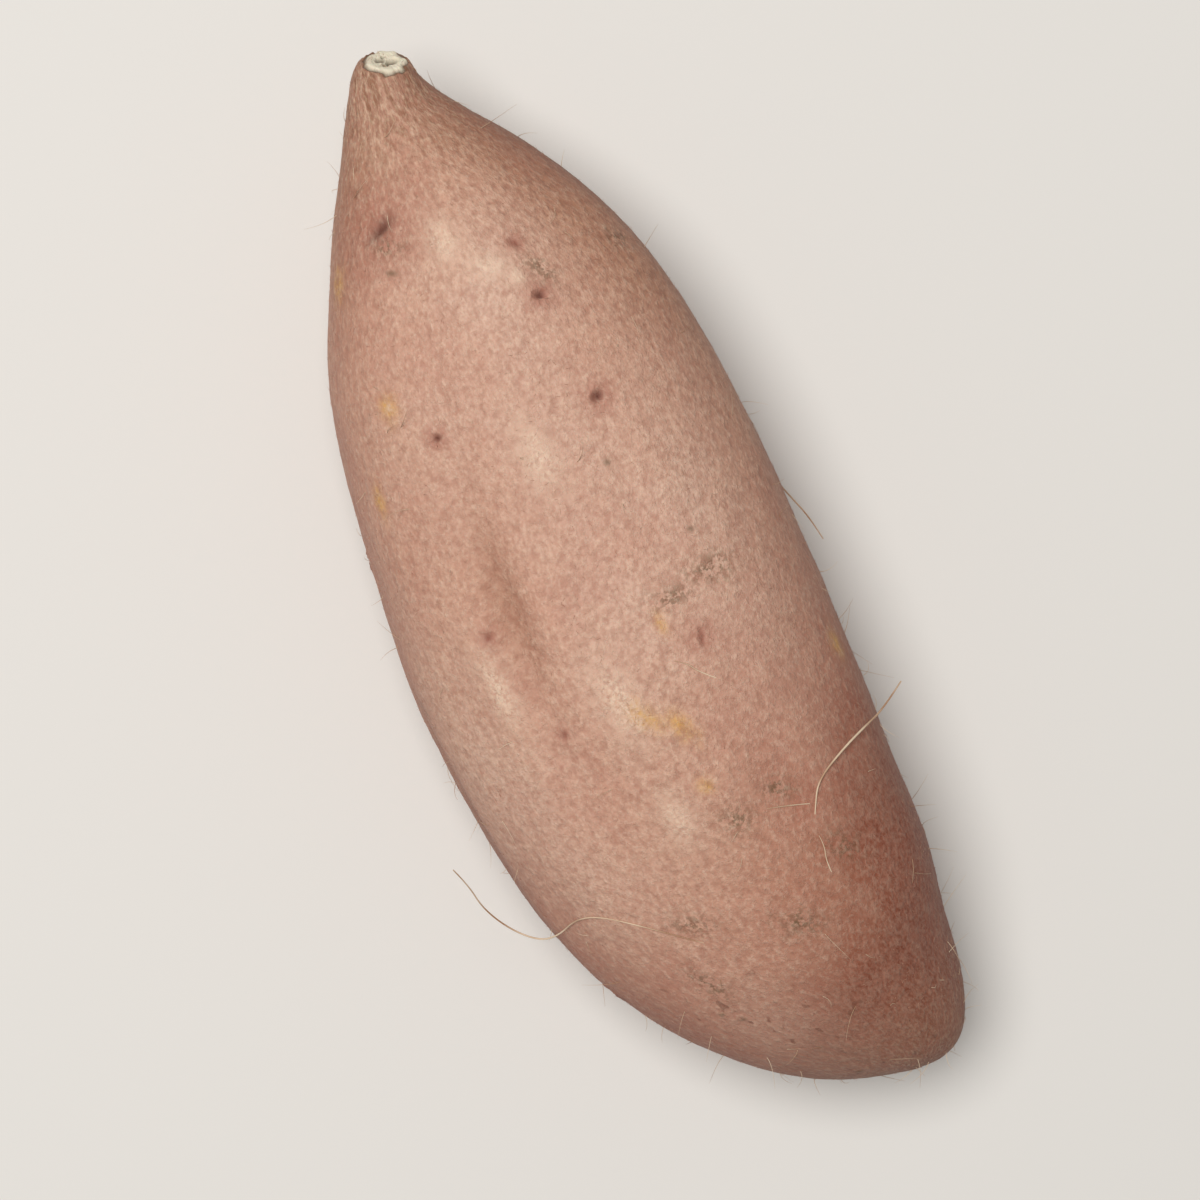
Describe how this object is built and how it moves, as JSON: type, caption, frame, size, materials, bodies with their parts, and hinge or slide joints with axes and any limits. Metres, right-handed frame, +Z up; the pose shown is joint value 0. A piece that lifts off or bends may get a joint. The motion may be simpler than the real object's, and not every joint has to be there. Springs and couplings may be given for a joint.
{
  "type": "sweet potato",
  "caption": "Raw sweet potato lying on its side: a bent, swollen root with a snapped-off neck, a blunt nose and a small flat spot it rests on.",
  "frame": {"origin": "on the surface that the root lies on, under the middle of its bounding box", "axes": "+X from the snapped neck to the nose, +Z up, +Y to the left of someone who looks from the neck to the nose"},
  "size_m": [0.1654, 0.0608, 0.0542],
  "materials": {
    "skin": "matte"
  },
  "bodies": {
    "root": {"sweet_potato": "skin"}
  },
  "joints": []
}
